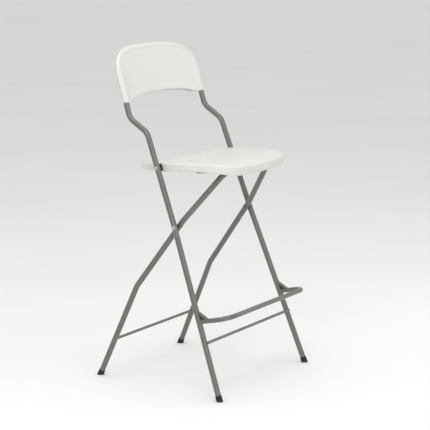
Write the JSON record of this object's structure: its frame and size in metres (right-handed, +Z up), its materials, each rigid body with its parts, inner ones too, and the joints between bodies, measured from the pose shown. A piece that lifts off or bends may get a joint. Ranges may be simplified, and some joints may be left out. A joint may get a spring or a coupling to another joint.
{
  "type": "folding bar stool",
  "caption": "Folding bar stool: crossing bent-tube legs, moulded seat that flips up, curved moulded backrest, bow footrest and rubber feet.",
  "frame": {"origin": "on the floor, under the centre of the stool's footprint", "axes": "+Z up, the stool faces -Y, +X to the left of a person seated on it"},
  "size_m": [0.574, 0.5518, 1.1359],
  "materials": {
    "frame_paint": "satin grey powder coat",
    "white_plastic": "off-white moulded polyethylene, fine texture",
    "black_rubber": "matt black rubber",
    "black_nylon": "black nylon",
    "plated_steel": "zinc plated"
  },
  "bodies": {
    "front_frame": {"front_leg_tube_left": "frame_paint", "front_leg_tube_right": "frame_paint", "front_crossbar": "frame_paint", "footrest_tube": "frame_paint", "footrest_brace_left": "frame_paint", "footrest_brace_right": "frame_paint", "footrest_insert_left": "black_nylon", "footrest_insert_right": "black_nylon", "front_foot_cap_left": "black_rubber", "front_foot_cap_right": "black_rubber", "leg_pivot_rivets": "plated_steel", "leg_pivot_spacers": "black_nylon", "seat_hinge_rivets": "plated_steel", "backrest_shell": "white_plastic", "backrest_screws": "plated_steel"},
    "rear_frame": {"rear_frame_tube": "frame_paint", "rear_crossbar": "frame_paint", "rear_foot_cap_left": "black_rubber", "rear_foot_cap_right": "black_rubber", "slide_sleeves": "black_nylon"},
    "seat": {"seat_shell": "white_plastic", "seat_hinge_block_left": "black_nylon", "seat_hinge_block_right": "black_nylon", "slide_guide_left": "frame_paint", "slide_guide_right": "frame_paint", "seat_rail_left": "frame_paint", "seat_rail_right": "frame_paint", "seat_screws": "plated_steel"}
  },
  "joints": [
    {"name": "leg_fold", "type": "hinge", "parent": "front_frame", "child": "rear_frame", "pos_m": [0, -0.052, 0.5525], "axis": [-1, 0, 0], "range_deg": [0, 52]},
    {"name": "seat_fold", "type": "hinge", "parent": "front_frame", "child": "seat", "pos_m": [0, 0.0209, 0.745], "axis": [-1, 0, 0], "range_deg": [0, 107.6]}
  ],
  "couplings": [
    {"joint": "seat_fold", "follows": "leg_fold", "ratio": 2.067}
  ]
}
